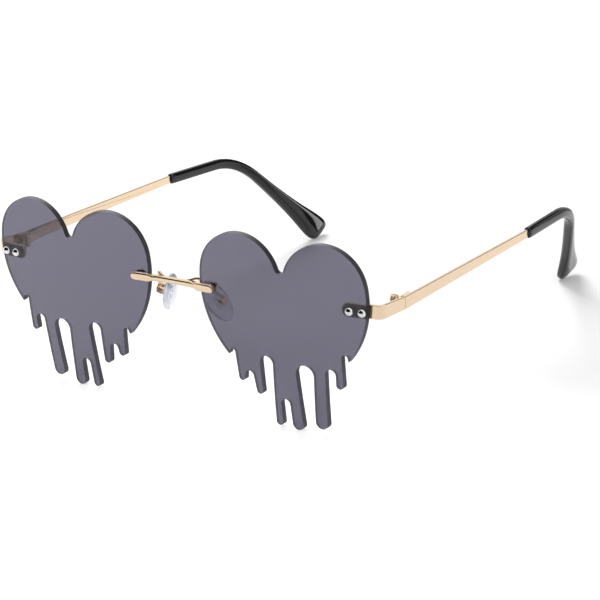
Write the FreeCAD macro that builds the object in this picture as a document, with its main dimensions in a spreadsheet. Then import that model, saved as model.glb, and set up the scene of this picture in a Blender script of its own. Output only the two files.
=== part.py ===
# Rimless sunglasses with heart lenses whose lower edges run down in drips.
# X runs across the face with the wearer's left at +X, Y runs from the lenses back to the ears,
# and Z runs up from the surface that the sunglasses stand on. Lengths are millimetres.
import FreeCAD, Part
import math
import os

import Sketcher
from FreeCAD import Placement, Rotation, Vector

# Driving dimensions, with angles in degrees
SIZES = {
    # Lenses
    "lens_width": 54.7,
    "drip_drop": 25.1,
    "lens_thickness": 1.9,
    "lens_gap": 18.3,
    "lens_curve": 300.0,
    "pupil_distance": 64.0,
    "seat_rise": 14.15,
    # Fits
    "hole_clearance": 0.05,
    "seat_gap": 0.05,
    "overrun": 2.0,
    # Rivets
    "rivet_inset": 3.42,
    "rivet_spacing": 3.85,
    "rivet_shank": 1.3,
    "rivet_head": 2.5,
    "rivet_dome": 0.85,
    "rivet_tail": 2.0,
    "rivet_tail_height": 0.45,
    # End pieces
    "end_reach": 3.65,
    "strip_thickness": 1.0,
    "plate_reach": 4.7,
    "plate_height": 4.0,
    "joint_depth": 16.05,
    "joint_height": 3.6,
    "joint_drop": 1.05,
    "joint_gap": 0.15,
    "bend_radius": 1.1,
    # Hinges
    "barrel_diameter": 2.7,
    "barrel_inset": 1.6,
    "barrel_lead": 1.55,
    "knuckle_height": 1.15,
    "centre_height": 1.4,
    "knuckle_gap": 0.1,
    "leaf_length": 5.5,
    "leaf_gap": 0.25,
    "leaf_height": 2.6,
    "screw_diameter": 1.2,
    "screw_head": 2.2,
    "screw_head_height": 0.55,
    "screw_slot": 0.4,
    "screw_slot_depth": 0.3,
    # Temples
    "temple_run": 72.2,
    "temple_drop": 2.5,
    "temple_end_height": 2.45,
    "temple_toe_in": 0.7,
    "core_run": 12.0,
    "core_root": 1.0,
    "core_height": 1.5,
    "core_thickness": 0.8,
    # Temple tips
    "tip_height": 2.7,
    "tip_thickness": 2.0,
    "tip_corner": 0.8,
    "sleeve_run": 33.3,
    "sleeve_inward": 2.4,
    "sleeve_drop": 2.1,
    "tip_bend_radius": 24.0,
    "tip_back": 27.4,
    "tip_inward": 15.3,
    "tip_rest": 0.9,
    "paddle_end_width": 9.2,
    "paddle_end_thickness": 2.8,
    "paddle_end_twist": 30.0,
    "paddle_end_lean": 24.0,
    # Bridge
    "bar_height": 1.7,
    "bar_depth": 1.5,
    "bar_set_back": 0.9,
    "shoulder_run": 2.8,
    "neck_height": 1.6,
    "neck_length": 1.2,
    "paddle_inset": 3.6,
    "paddle_reach": 1.65,
    "paddle_overhang": 0.75,
    "paddle_height": 2.5,
    "paddle_thickness": 1.3,
    "paddle_corner": 1.15,
    "bridge_round": 0.55,
    "post_diameter": 1.4,
    "nut_diameter": 2.4,
    "nut_height": 1.1,
    # Nose pads
    "pad_length": 13.8,
    "pad_width": 7.7,
    "pad_end_radius": 2.6,
    "pad_crown": 1.5,
    "pad_back": 0.7,
    "pad_inset": 0.45,
    "pad_depth": 9.8,
    "pad_drop": 7.35,
    "pad_splay": 13.4,
    "pad_tilt": 18.0,
    "pad_roll": 26.5,
    "insert_length": 4.6,
    "insert_width": 2.6,
    "insert_thickness": 0.6,
    "tongue_thickness": 1.0,
    "tongue_reach": 1.7,
    "tongue_height": 1.5,
    "box_width": 2.3,
    "box_gap": 0.75,
    "box_wall": 0.5,
    "box_slot_clearance": 0.08,
    "pad_screw_diameter": 0.9,
    "pad_screw_head": 1.5,
    "pad_screw_head_height": 0.4,
    "arm_wire": 0.9,
    "arm_root_inset": 4.85,
    "arm_root_rise": 0.5,
    "arm_loop_inset": 2.45,
    "arm_loop_back": 1.15,
    "arm_loop_rise": 1.3,
    "arm_bend": 0.9,
}

# Heart: lobe centre across and above the drip line, lobe radius, side radius and height of the side's
# centre above the drip line, as shares of the lens width, and the height of the point where the side
# ends, as a share of the drip drop
NASAL_LOBE_SHARES = (0.2488, 0.3342, 0.2472, 0.5607, 0.2967, 0.8037)
TEMPORAL_LOBE_SHARES = (0.7583, 0.3477, 0.2382, 0.4974, 0.3043, 0.9622)
CLEFT_RADIUS_SHARE = 0.0265

# Drips from the nose outwards: centre across, centre up and radius, as shares of the lens width, the drip
# drop and the lens width. Hollows and drips take turns, and the first and last are hollows.
DRIP_SHARES = (
    (0.179, 0.8368, 0.0174),
    (0.223, 0.5419, 0.0192),
    (0.2733, 0.5817, 0.0274),
    (0.329, 0.4123, 0.0192),
    (0.3894, 0.7789, 0.0402),
    (0.4305, 0.0617, 0.0201),
    (0.4817, 0.3067, 0.0283),
    (0.543, 0.0697, 0.032),
    (0.6188, 0.7152, 0.0539),
    (0.6892, 0.1434, 0.0356),
    (0.7715, 0.7689, 0.0311),
    (0.8199, 0.6573, 0.0201),
    (0.861, 0.9989, 0.0183),
)

# Tip sections after the bend: place along the straight part, width, thickness, twist and lean, as shares
# of the part's length and of the paddle's width, thickness, twist and lean
TIP_SECTION_SHARES = (
    (0.0, 0.37, 0.92, 0.1, 0.0),
    (0.28, 0.47, 0.95, 0.35, 0.1),
    (0.55, 0.65, 0.99, 0.65, 0.3),
    (0.78, 0.86, 1.0, 0.9, 0.7),
    (0.9, 0.96, 1.0, 0.98, 0.9),
    (0.96, 0.93, 0.93, 1.0, 1.0),
    (0.99, 0.78, 0.75, 1.0, 1.0),
    (1.0, 0.55, 0.5, 1.0, 1.0),
)
TIP_BEND_STEPS = 7

# Largest corner radius of a loft's section, as a share of its sides
CORNER_SHARE = 0.4

# Sections of a bridge paddle's round end, as shares of its corner radius
PADDLE_END_SHARES = (0.0, 0.5, 0.8, 0.95, 1.0)

# Sections of a nose pad from its back to its crown: level and size, as shares of its thickness and outline
PAD_SECTION_SHARES = (
    (0.0, 0.93),
    (0.3, 1.0),
    (0.6, 0.96),
    (0.85, 0.85),
    (1.0, 0.66),
)

# Corners of a pad arm's wire
WIRE_CORNERS = 8

# Places that follow from the driving dimensions
LENS_DIP = "Size.lens_curve - sqrt(Size.lens_curve^2 - ({0} - Place.lens_axis)^2)"
LENS_TURN = "asin(({0} - Place.lens_axis) / Size.lens_curve)"
PLACES = {
    "lens_edge": "Size.lens_gap / 2",
    "lens_axis": "Size.pupil_distance / 2",
    "lens_span": "Size.lens_width + Size.drip_drop",
    "lens_reach": "Size.lens_thickness + Place.lens_span^2 / Size.lens_curve",
    "seat_level": "Size.drip_drop + Size.seat_rise",
    "rivet_x": "Place.lens_edge + Size.lens_width - Size.rivet_inset",
    "rivet_y": LENS_DIP.format("Place.rivet_x"),
    "rivet_turn": LENS_TURN.format("Place.rivet_x"),
    "paddle_x": "Place.lens_edge + Size.paddle_inset",
    "paddle_y": LENS_DIP.format("Place.paddle_x"),
    "paddle_turn": LENS_TURN.format("Place.paddle_x"),
    "plate_front": "Size.lens_thickness + Size.seat_gap",
    "plate_back": "Place.plate_front + Size.strip_thickness",
    "arm_outer": "Place.lens_edge + Size.lens_width + Size.end_reach",
    "arm_inner": "Place.arm_outer - Size.strip_thickness",
    "joint_level": "Place.seat_level - Size.joint_drop",
    "axis_x": "Place.arm_inner - Size.barrel_inset",
    "axis_y": "Size.joint_depth - Size.barrel_lead",
    "centre_bottom": "Place.joint_level - Size.centre_height / 2",
    "centre_top": "Place.joint_level + Size.centre_height / 2",
    "knuckle_top": "Place.centre_top + Size.knuckle_gap + Size.knuckle_height",
    "knuckle_bottom": "Place.centre_bottom - Size.knuckle_gap - Size.knuckle_height",
    "bar_front": "Size.bar_set_back - Size.bar_depth / 2",
    "bar_rear": "Size.bar_set_back + Size.bar_depth / 2",
    "paddle_inner": "Place.lens_edge - Size.paddle_overhang",
    "bar_half": "Place.paddle_inner - Size.shoulder_run",
    "tip_fall": "Place.joint_level - Size.temple_drop - Size.sleeve_drop - Size.tip_rest",
    "pad_x": "Place.lens_edge - Size.pad_inset",
    "pad_z": "Place.seat_level - Size.pad_drop",
    "arm_root_x": "Place.lens_edge - Size.arm_root_inset",
    "arm_root_z": "Place.seat_level + Size.arm_root_rise",
    "arm_loop_x": "Place.lens_edge - Size.arm_loop_inset",
    "arm_loop_y": "Place.bar_rear + Size.arm_loop_back",
    "arm_loop_z": "Place.seat_level + Size.arm_loop_rise",
    "paddle_back": "-Size.seat_gap",
    "paddle_face": "Place.paddle_back - Size.paddle_thickness",
    "screw_depth": "Size.pad_back + Size.tongue_reach",
    "box_front": "Size.pad_back + Size.box_gap",
    "slot_back": "Place.screw_depth + Size.tongue_height / 2 + Size.box_slot_clearance",
    "box_back": "Place.slot_back + Size.box_wall",
}

SIDES = ("left", "right")

doc = FreeCAD.newDocument("HeartSunglasses")


def fill_sheet(name, cells, mark):
    """Sheet with one named cell for each size or place."""
    sheet = doc.addObject("Spreadsheet::Sheet", name)
    for row, (alias, content) in enumerate(cells.items(), 1):
        sheet.set(f"A{row}", alias)
        sheet.set(f"B{row}", f"{mark}{content}")
        sheet.setAlias(f"B{row}", alias)
    doc.recompute()
    return sheet


size_sheet = fill_sheet("Size", SIZES, "")
place_sheet = fill_sheet("Place", PLACES, "=")


def value(expression):
    """Number that an expression of the sheets gives."""
    result = size_sheet.evalExpression(expression)
    return float(getattr(result, "Value", result))


def bind(item, **expressions):
    """Tie properties of an object to the sheets."""
    for prop, expression in expressions.items():
        item.setExpression(prop, expression)
    return item


def put(item, x="0", y="0", z="0", turn=Rotation()):
    """Place an object, with its position tied to the sheets."""
    item.Placement = Placement(Vector(value(x), value(y), value(z)), turn)
    for axis, expression in zip("xyz", (x, y, z)):
        if expression != "0":
            item.setExpression(f"Placement.Base.{axis}", expression)
    return item


def on_lens(seat, along, back):
    """Plan point at a lens seat: along the lens's tangent, and back along its normal."""
    turn = f"Place.{seat}_turn"
    x = f"Place.{seat}_x + ({along}) * cos({turn}) - ({back}) * sin({turn})"
    y = f"Place.{seat}_y + ({along}) * sin({turn}) + ({back}) * cos({turn})"
    return x, y


def lens_seat(seat):
    """Turn of a part whose own Z axis points back along the lens's normal."""
    return Rotation(Vector(0, 0, 1), value(f"Place.{seat}_turn")) * Rotation(Vector(1, 0, 0), -90)


# Turn of a sketch whose own X and Y axes point back and up
ACROSS_X = Rotation(Vector(1, 1, 1), 120)


# Sketches


def sketch_on(body, name, role, offset="0"):
    """Empty sketch on one of a body's origin planes, moved along the plane's normal."""
    sketch = body.newObject("Sketcher::SketchObject", name)
    plane = next(item for item in body.Origin.OriginFeatures if item.Role == role)
    sketch.AttachmentSupport = [(plane, "")]
    sketch.MapMode = "FlatFace"
    if offset != "0":
        sketch.setExpression("AttachmentOffset.Base.z", offset)
    return sketch


def fix(sketch, kind, expression, *geometry):
    """Dimension of a sketch that follows an expression."""
    index = sketch.addConstraint(Sketcher.Constraint(kind, *geometry, value(expression)))
    if expression != "0":
        sketch.setExpression(f"Constraints[{index}]", expression)


def polygon(sketch, corners):
    """Closed straight outline with each corner given by two expressions."""
    first = sketch.GeometryCount
    count = len(corners)
    points = [Vector(value(x), value(y), 0) for x, y in corners]
    for index in range(count):
        sketch.addGeometry(Part.LineSegment(points[index], points[(index + 1) % count]), False)
    for index, (x, y) in enumerate(corners):
        here = first + index
        after = first + (index + 1) % count
        sketch.addConstraint(Sketcher.Constraint("Coincident", here, 2, after, 1))
        fix(sketch, "DistanceX", x, -1, 1, here, 1)
        fix(sketch, "DistanceY", y, -1, 1, here, 1)


def rounded_rectangle(sketch, across, up, corner):
    """Rectangle with round corners about the sketch's origin."""
    half_x = value(across) / 2
    half_y = value(up) / 2
    radius = value(corner)
    for quarter in range(4):
        turn = Rotation(Vector(0, 0, 1), 90 * quarter)
        wide, tall = (half_x, half_y) if quarter % 2 == 0 else (half_y, half_x)
        side = (Vector(wide, radius - tall, 0), Vector(wide, tall - radius, 0))
        sketch.addGeometry(Part.LineSegment(turn * side[0], turn * side[1]), False)
        centre = turn * Vector(wide - radius, tall - radius, 0)
        start = math.radians(90 * quarter)
        circle = Part.Circle(centre, Vector(0, 0, 1), radius)
        sketch.addGeometry(Part.ArcOfCircle(circle, start, start + math.pi / 2), False)
    for quarter in range(4):
        line = 2 * quarter
        sketch.addConstraint(Sketcher.Constraint("Vertical" if quarter % 2 == 0 else "Horizontal", line))
        sketch.addConstraint(Sketcher.Constraint("Tangent", line, 2, line + 1, 1))
        sketch.addConstraint(Sketcher.Constraint("Tangent", line + 1, 2, (line + 2) % 8, 1))
        fix(sketch, "Radius", corner, line + 1)
    fix(sketch, "DistanceX", f"({across}) / 2", -1, 1, 0, 1)
    fix(sketch, "DistanceY", f"({up}) / 2", -1, 1, 2, 1)
    fix(sketch, "DistanceX", f"-({across}) / 2", -1, 1, 4, 1)
    fix(sketch, "DistanceY", f"-({up}) / 2", -1, 1, 6, 1)


# Features


def new_body(name):
    return doc.addObject("PartDesign::Body", name)


def pad(body, sketch, length, reverse=False):
    feature = body.newObject("PartDesign::Pad", f"{body.Name}_pad")
    feature.Profile = sketch
    feature.Reversed = reverse
    bind(feature, Length=length)
    doc.recompute()
    return feature


def trim(body, sketch, length, reverse):
    """Cut away what the sketch covers, and make sure that something was cut."""
    before = body.Shape.Volume
    feature = body.newObject("PartDesign::Pocket", f"{body.Name}_trim")
    feature.Profile = sketch
    feature.Reversed = reverse
    bind(feature, Length=length)
    doc.recompute()
    if not feature.Shape.Volume < before:
        raise ValueError(f"{feature.Name} cut nothing")
    return feature


def round_edges(body, radius, test):
    """Fillet on the edges of a body that pass a test."""
    base = body.Tip
    names = [f"Edge{index}" for index, edge in enumerate(base.Shape.Edges, 1) if test(edge)]
    if not names:
        raise ValueError(f"no edge to round on {body.Name}")
    feature = body.newObject("PartDesign::Fillet", f"{body.Name}_round")
    feature.Base = (base, names)
    bind(feature, Radius=radius)
    doc.recompute()
    return feature


def box(name, length, width, height, x="0", y="0", z="0", turn=Rotation()):
    item = doc.addObject("Part::Box", name)
    bind(item, Length=length, Width=width, Height=height)
    return put(item, x, y, z, turn)


def cylinder(name, diameter, height, x="0", y="0", z="0", turn=Rotation()):
    item = doc.addObject("Part::Cylinder", name)
    bind(item, Radius=f"({diameter}) / 2", Height=height)
    return put(item, x, y, z, turn)


def fuse(name, items):
    item = doc.addObject("Part::MultiFuse", name)
    item.Shapes = items
    item.Refine = True
    return item


def cut(name, base, tools):
    item = doc.addObject("Part::Cut", name)
    item.Base = base
    item.Tool = tools[0] if len(tools) == 1 else fuse(f"{name}_tools", tools)
    return item


def common(name, first, second):
    item = doc.addObject("Part::Common", name)
    item.Base = first
    item.Tool = second
    return item


def ruled_loft(name, sections):
    """Solid through closed sketches, with straight lines from each to the next."""
    loft = doc.addObject("Part::Loft", name)
    loft.Sections = sections
    loft.Ruled = True
    loft.Solid = True
    return loft


def mirror(name, source):
    """Twin of a left-hand piece on the wearer's right."""
    item = doc.addObject("Part::Mirroring", name)
    item.Source = source
    item.Normal = Vector(1, 0, 0)
    return item


def at_point(vertex, x, y):
    """Whether a vertex stands over a plan point."""
    return math.hypot(vertex.X - value(x), vertex.Y - value(y)) < value("Size.seat_gap")


def edge_between(edge, first, second):
    """Whether an edge runs level from one plan point to the other, or stands over one point."""
    ends = edge.Vertexes
    if len(ends) != 2:
        return False
    ways = ((ends[0], ends[1]), (ends[1], ends[0]))
    return any(at_point(a, *first) and at_point(b, *second) for a, b in ways)


# Lenses: a heart of tangent arcs, with drips of arcs joined by tangent lines


class Round:
    """Circle of the outline, with a positive bend where the outline turns left."""

    def __init__(self, across, up, radius, bend):
        self.across = across
        self.up = up
        self.radius = radius
        self.centre = Vector(value(across), value(up), 0)
        self.bend = bend * value(radius) if radius else 0.0


def above_drips(share):
    """Height above the drip line, as a share of the lens width."""
    return f"Size.drip_drop + Size.lens_width * {share}"


def lens_round(across, height, radius, bend):
    """Round of the outline, with its place across and its radius as shares of the lens width."""
    return Round(f"Place.lens_edge + Size.lens_width * {across}", height, f"Size.lens_width * {radius}", bend)


def lobe_round(shares):
    return lens_round(shares[0], above_drips(shares[1]), shares[2], 1)


def drip_round(shares, bend):
    return lens_round(shares[0], f"Size.drip_drop * {shares[1]}", shares[2], bend)


def side_centre(lobe, shares, outward):
    """Centre of the arc that carries a lobe's side down, tangent to the lobe."""
    reach = value(f"Size.lens_width * {shares[3]}") - value(lobe.radius)
    height = value(above_drips(shares[4]))
    rise = height - lobe.centre.y
    return Vector(lobe.centre.x - outward * math.sqrt(reach**2 - rise**2), height, 0)


def tangent_line(first, second):
    """Line that leaves one round and reaches the next, tangent to both."""
    span = second.centre - first.centre
    angle = math.atan2(span.y, span.x) - math.asin((second.bend - first.bend) / span.Length)
    left = Vector(-math.sin(angle), math.cos(angle), 0)
    return first.centre - left * first.bend, second.centre - left * second.bend


def arc_between(centre, start, end):
    """Arc from one point to another, turning left about its centre."""
    circle = Part.Circle(centre, Vector(0, 0, 1), (start - centre).Length)
    angles = [math.atan2(point.y - centre.y, point.x - centre.x) for point in (start, end)]
    if angles[1] < angles[0]:
        angles[1] += 2 * math.pi
    return Part.ArcOfCircle(circle, *angles)


def draw_heart(sketch):
    """Heart outline from the nasal tooth along the drips and back over the lobes."""
    nasal = lobe_round(NASAL_LOBE_SHARES)
    temporal = lobe_round(TEMPORAL_LOBE_SHARES)
    sides = []
    teeth = []
    for lobe, shares, outward in ((nasal, NASAL_LOBE_SHARES, -1), (temporal, TEMPORAL_LOBE_SHARES, 1)):
        centre = side_centre(lobe, shares, outward)
        radius = value(f"Size.lens_width * {shares[3]}")
        height = value(f"Size.drip_drop * {shares[5]}")
        reach = math.sqrt(radius**2 - (height - centre.y) ** 2)
        sides.append(centre)
        teeth.append(Vector(centre.x + outward * reach, height, 0))
    cleft_radius = value(f"Size.lens_width * {CLEFT_RADIUS_SHARE}")
    base = temporal.centre - nasal.centre
    far = nasal.bend + cleft_radius
    along = (far**2 - (temporal.bend + cleft_radius) ** 2 + base.Length**2) / base.Length / 2
    unit = base / base.Length
    cleft = nasal.centre + unit * along + Vector(-unit.y, unit.x, 0) * math.sqrt(far**2 - along**2)

    # Drip edge: a line and an arc in turn, ended by a line to the temporal tooth
    rounds = [drip_round(shares, 1 if index % 2 else -1) for index, shares in enumerate(DRIP_SHARES)]
    stops = [Round("0", "0", None, 0)] + rounds + [Round("0", "0", None, 0)]
    stops[0].centre, stops[-1].centre = teeth
    lines = [tangent_line(first, second) for first, second in zip(stops, stops[1:])]
    chain = []
    for line, after, stop in zip(lines, lines[1:] + [None], stops[1:]):
        chain.append((sketch.addGeometry(Part.LineSegment(*line), False), 1, 2))
        if after:
            ends = (line[1], after[0]) if stop.bend > 0 else (after[0], line[1])
            arc = sketch.addGeometry(arc_between(stop.centre, *ends), False)
            chain.append((arc, 1, 2) if stop.bend > 0 else (arc, 2, 1))
            fix(sketch, "Radius", stop.radius, arc)
            fix(sketch, "DistanceX", stop.across, -1, 1, arc, 3)
            fix(sketch, "DistanceY", stop.up, -1, 1, arc, 3)

    # Heart: side, lobe, cleft, lobe and side
    def lobe_joint(lobe, centre):
        away = lobe.centre - centre
        return lobe.centre + away / away.Length * lobe.bend

    def cleft_touch(lobe):
        away = cleft - lobe.centre
        return lobe.centre + away / away.Length * lobe.bend

    joints = [lobe_joint(nasal, sides[0]), lobe_joint(temporal, sides[1])]
    touches = [cleft_touch(nasal), cleft_touch(temporal)]
    temporal_side = sketch.addGeometry(arc_between(sides[1], teeth[1], joints[1]), False)
    temporal_lobe = sketch.addGeometry(arc_between(temporal.centre, joints[1], touches[1]), False)
    cleft_arc = sketch.addGeometry(arc_between(cleft, touches[0], touches[1]), False)
    nasal_lobe = sketch.addGeometry(arc_between(nasal.centre, touches[0], joints[0]), False)
    nasal_side = sketch.addGeometry(arc_between(sides[0], joints[0], teeth[0]), False)
    heart = [
        (temporal_side, 1, 2),
        (temporal_lobe, 1, 2),
        (cleft_arc, 2, 1),
        (nasal_lobe, 1, 2),
        (nasal_side, 1, 2),
    ]
    for stretch in (chain, heart):
        for (here, _, leave), (after, arrive, _) in zip(stretch, stretch[1:]):
            sketch.addConstraint(Sketcher.Constraint("Tangent", here, leave, after, arrive))
    sketch.addConstraint(Sketcher.Constraint("Coincident", chain[-1][0], 2, temporal_side, 1))
    sketch.addConstraint(Sketcher.Constraint("Coincident", nasal_side, 2, chain[0][0], 1))
    fix(sketch, "Radius", f"Size.lens_width * {CLEFT_RADIUS_SHARE}", cleft_arc)
    parts = (
        (nasal, NASAL_LOBE_SHARES, nasal_lobe, nasal_side, 2),
        (temporal, TEMPORAL_LOBE_SHARES, temporal_lobe, temporal_side, 1),
    )
    for lobe, shares, lobe_arc, side_arc, tooth_end in parts:
        fix(sketch, "Radius", lobe.radius, lobe_arc)
        fix(sketch, "DistanceX", lobe.across, -1, 1, lobe_arc, 3)
        fix(sketch, "DistanceY", lobe.up, -1, 1, lobe_arc, 3)
        fix(sketch, "Radius", f"Size.lens_width * {shares[3]}", side_arc)
        fix(sketch, "DistanceY", above_drips(shares[4]), -1, 1, side_arc, 3)
        fix(sketch, "DistanceY", f"Size.drip_drop * {shares[5]}", -1, 1, side_arc, tooth_end)


def rivet_points():
    """Places of a side's two rivets along the lens, from the middle between them."""
    half = "Size.rivet_spacing / 2"
    return [f"-{half}", half]


def through_lens(name, seat, along, level, diameter):
    """Round tool that passes through the lens and what stands behind it, along the lens's normal."""
    x, y = on_lens(seat, along, "-Size.overrun")
    height = "Place.plate_back + 2 * Size.overrun"
    return cylinder(name, diameter, height, x, y, level, lens_seat(seat))


def make_lens():
    body = new_body("lens_blank")
    sketch = sketch_on(body, "heart_outline", "XZ_Plane", "Size.overrun")
    draw_heart(sketch)
    pad(body, sketch, "Place.lens_reach + Size.overrun", reverse=True)
    front = doc.addObject("Part::Sphere", "lens_front_ball")
    back = doc.addObject("Part::Sphere", "lens_back_ball")
    bind(front, Radius="Size.lens_curve")
    bind(back, Radius="Size.lens_curve - Size.lens_thickness")
    for ball in (front, back):
        put(ball, "Place.lens_axis", "Size.lens_curve", "Place.seat_level")
    curved = common("lens_curved", body, front)
    bores = [
        through_lens(f"rivet_bore_{index}", "rivet", along, "Place.seat_level",
                     "Size.rivet_shank + 2 * Size.hole_clearance")
        for index, along in enumerate(rivet_points())
    ]
    bores.append(through_lens("post_bore", "paddle", "0", "Place.seat_level",
                              "Size.post_diameter + 2 * Size.hole_clearance"))
    return cut("lens_left", curved, [back] + bores)


# Rivets: a dome on the lens front, a shank through lens and plate, and a flat tail


def make_rivets():
    dome_radius = "(Size.rivet_head^2 / 4 + Size.rivet_dome^2) / Size.rivet_dome / 2"
    turn = lens_seat("rivet")
    rivets = []
    for index, along in enumerate(rivet_points()):
        dome = doc.addObject("Part::Sphere", f"rivet_dome_{index}")
        bind(dome, Radius=dome_radius, Angle1=f"asin(1 - Size.rivet_dome / ({dome_radius}))")
        dome.Angle2 = 90
        x, y = on_lens("rivet", along, f"{dome_radius} - Size.rivet_dome - Size.seat_gap")
        put(dome, x, y, "Place.seat_level", turn * Rotation(Vector(1, 0, 0), 180))
        x, y = on_lens("rivet", along, "-Size.seat_gap")
        shank_length = "Place.plate_back + Size.seat_gap + Size.rivet_tail_height"
        shank = cylinder(f"rivet_shank_{index}", "Size.rivet_shank", shank_length, x, y,
                         "Place.seat_level", turn)
        x, y = on_lens("rivet", along, "Place.plate_back")
        tail = cylinder(f"rivet_tail_{index}", "Size.rivet_tail", "Size.rivet_tail_height", x, y,
                        "Place.seat_level", turn)
        rivets.append(fuse(f"rivet_{index}", [dome, shank, tail]))
    group = doc.addObject("Part::Compound", "rivets_left")
    group.Links = rivets
    return group


# End pieces: a plate behind the lens, bent back to the hinge, with an upper and a lower knuckle


def plate_corner(depth, face):
    """Plan point where a face of the plate meets a face of the arm."""
    along = f"({face} - Place.rivet_x + ({depth}) * sin(Place.rivet_turn)) / cos(Place.rivet_turn)"
    return face, on_lens("rivet", along, depth)[1]


def make_end_piece():
    body = new_body("end_strip")
    tip_front = on_lens("rivet", "-Size.plate_reach", "Place.plate_front")
    tip_back = on_lens("rivet", "-Size.plate_reach", "Place.plate_back")
    outer = plate_corner("Place.plate_front", "Place.arm_outer")
    inner = plate_corner("Place.plate_back", "Place.arm_inner")
    low = "Place.joint_level - Size.plate_height"
    plan = sketch_on(body, "end_plan", "XY_Plane", low)
    outer_end = ("Place.arm_outer", "Size.joint_depth")
    inner_end = ("Place.arm_inner", "Size.joint_depth")
    polygon(plan, [tip_front, outer, outer_end, inner_end, inner, tip_back])
    pad(body, plan, "Size.joint_drop + 2 * Size.plate_height")
    side = sketch_on(body, "end_side", "YZ_Plane")
    rim = "Size.joint_depth + Size.overrun"
    high = "Place.seat_level + Size.plate_height + Size.overrun"
    start = "-Size.overrun"
    before = "-2 * Size.overrun"
    below = f"{low} - Size.overrun"
    polygon(side, [(before, below), (rim, below), (rim, high), (before, high)])
    bend_y = f"{inner[1]} + Size.bend_radius"
    keep = [(start, "Place.seat_level - Size.plate_height / 2"),
            (bend_y, "Place.seat_level - Size.plate_height / 2"),
            ("Size.joint_depth", "Place.joint_level - Size.joint_height / 2"),
            ("Size.joint_depth", "Place.joint_level + Size.joint_height / 2"),
            (bend_y, "Place.seat_level + Size.plate_height / 2"),
            (start, "Place.seat_level + Size.plate_height / 2")]
    polygon(side, keep)
    trim(body, side, "Place.arm_outer + Size.overrun", reverse=True)
    round_edges(body, "Size.bend_radius + Size.strip_thickness",
                lambda edge: edge_between(edge, outer, outer))
    round_edges(body, "Size.bend_radius", lambda edge: edge_between(edge, inner, inner))
    round_edges(body, "Size.plate_height / 2 - Size.seat_gap",
                lambda edge: edge_between(edge, tip_front, tip_back))
    pieces = [body]
    levels = (("lower", "Place.knuckle_bottom"), ("upper", "Place.centre_top + Size.knuckle_gap"))
    for name, level in levels:
        pieces.append(cylinder(f"{name}_knuckle", "Size.barrel_diameter", "Size.knuckle_height",
                               "Place.axis_x", "Place.axis_y", level))
        pieces.append(box(f"{name}_web", "Size.barrel_inset", "Size.barrel_diameter", "Size.knuckle_height",
                          "Place.axis_x", "Place.axis_y - Size.barrel_diameter / 2", level))
    bores = [
        through_lens(f"plate_bore_{index}", "rivet", along, "Place.seat_level",
                     "Size.rivet_shank + 2 * Size.hole_clearance")
        for index, along in enumerate(rivet_points())
    ]
    bores.append(hinge_bore("end_bore"))
    return cut("end_piece_left", fuse("end_piece_solid", pieces), bores)


def hinge_bore(name):
    """Hole for the hinge screw through all three knuckles."""
    height = "Place.knuckle_top - Place.knuckle_bottom + 2 * Size.overrun"
    return cylinder(name, "Size.screw_diameter + 2 * Size.hole_clearance", height,
                    "Place.axis_x", "Place.axis_y", "Place.knuckle_bottom - Size.overrun")


def make_hinge_screw():
    shank = cylinder("hinge_shank", "Size.screw_diameter", "Place.knuckle_top - Place.knuckle_bottom",
                     "Place.axis_x", "Place.axis_y", "Place.knuckle_bottom")
    head = cylinder("hinge_head", "Size.screw_head", "Size.screw_head_height",
                    "Place.axis_x", "Place.axis_y", "Place.knuckle_top")
    slot = box("hinge_slot", "2 * Size.screw_head", "Size.screw_slot", "Size.overrun",
               "Place.axis_x - Size.screw_head", "Place.axis_y - Size.screw_slot / 2",
               "Place.knuckle_top + Size.screw_head_height - Size.screw_slot_depth")
    return cut("hinge_screw_left", fuse("hinge_screw_solid", [shank, head]), [slot])


# Temples: a tapered strip that sinks towards the ear and ends as a core inside the tip


def temple_turn():
    return Rotation(Vector(0, 0, 1), value("Size.temple_toe_in"))


def put_on_temple(item):
    return put(item, "Place.arm_outer - Size.strip_thickness / 2", "Size.joint_depth", "Place.joint_level",
               temple_turn())


def temple_frame():
    """Placement of the temple's own frame, whose origin is the middle of the joint."""
    middle = ("Place.arm_outer - Size.strip_thickness / 2", "Size.joint_depth", "Place.joint_level")
    return Placement(Vector(*(value(text) for text in middle)), temple_turn())


def make_strip():
    """Flat strip from the joint to the sleeve."""
    body = new_body("strip")
    sketch = sketch_on(body, "strip_side", "YZ_Plane", "-Size.strip_thickness / 2")
    fall = "Size.temple_drop / Size.temple_run"
    end = "Size.temple_run - Size.joint_gap"
    stations = (("Size.joint_gap", "Size.joint_height / 2"), (end, "Size.temple_end_height / 2"))
    lower = [(y, f"-({y}) * {fall} - {half}") for y, half in stations]
    upper = [(y, f"-({y}) * {fall} + {half}") for y, half in stations]
    polygon(sketch, lower + upper[::-1])
    pad(body, sketch, "Size.strip_thickness")
    return put_on_temple(body)


def core_box(name, clearance):
    """Core that the strip carries on inside the sleeve, or its socket, which is grown by a clearance."""
    start, corner, _ = tip_path()
    frame = temple_frame() * tip_frame(start, (corner - start).normalize(), 0)
    item = doc.addObject("Part::Box", name)
    thickness = f"Size.core_thickness + 2 * {clearance}"
    height = f"Size.core_height + 2 * {clearance}"
    bind(item, Length=thickness, Width=height, Height=f"Size.core_run + {clearance} + Size.core_root")
    base = Vector(-value(thickness) / 2, -value(height) / 2, -value(f"Size.core_run + {clearance}"))
    item.Placement = frame * Placement(base, Rotation())
    return item


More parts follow.
